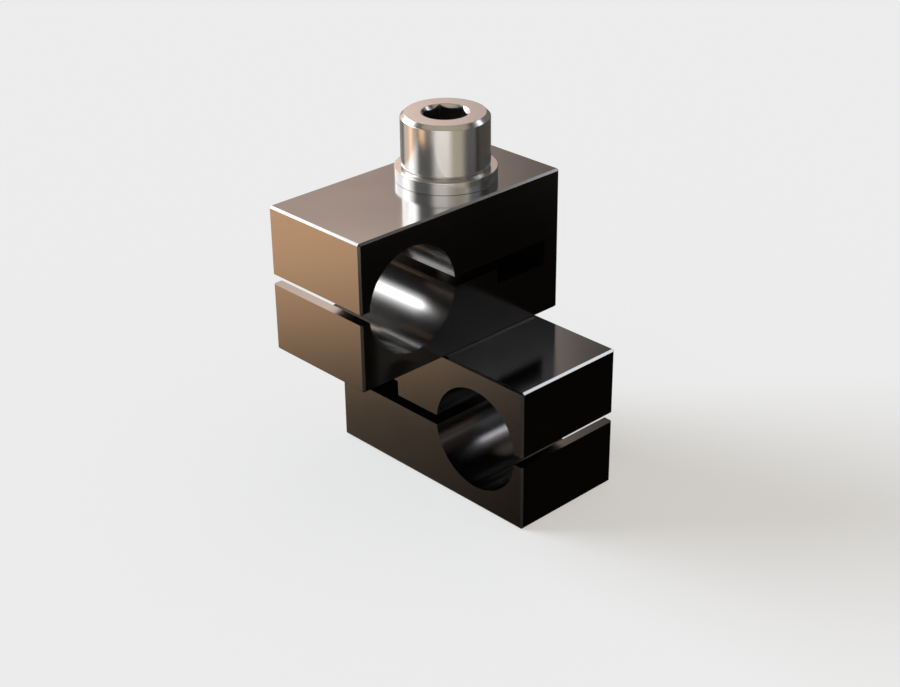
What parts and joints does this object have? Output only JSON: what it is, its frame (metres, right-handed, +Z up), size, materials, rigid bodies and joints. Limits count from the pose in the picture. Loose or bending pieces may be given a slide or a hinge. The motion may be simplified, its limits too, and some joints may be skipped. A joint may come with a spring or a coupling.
{
  "type": "swivel clamp",
  "caption": "Stacked slit blocks that grip crossing round rods at any angle, drawn tight and pivoted on a socket head cap screw with a plain washer.",
  "frame": {"origin": "middle of the lower rod bore, on its axis", "axes": "+Y along the lower rod, +Z up along the screw towards its head, +X from the screw towards the lower block's open end"},
  "size_m": [0.0388, 0.0388, 0.0546],
  "materials": {
    "anodised_block": "gloss",
    "washer_steel": "polished",
    "screw_steel": "polished"
  },
  "bodies": {
    "lower_block": {"lower_clamp_block": "anodised_block"},
    "upper_block": {"upper_clamp_block": "anodised_block"},
    "washer": {"washer": "washer_steel"},
    "screw": {"clamp_screw": "screw_steel"}
  },
  "joints": [
    {"name": "swivel", "type": "hinge", "parent": "lower_block", "child": "upper_block", "pos_m": [-0.0155, 0, 0.0112], "axis": [0, 0, 1], "continuous": true},
    {"name": "screw_lift", "type": "slide", "parent": "lower_block", "child": "washer", "axis": [0, 0, 1], "range_m": [0, 0.0025]},
    {"name": "screw_turn", "type": "hinge", "parent": "washer", "child": "screw", "pos_m": [-0.0155, 0, 0.0354], "axis": [0, 0, 1], "range_deg": [0, 720]}
  ],
  "couplings": [
    {"joint": "screw_turn", "follows": "screw_lift", "rad_per_m": 5026.5}
  ]
}
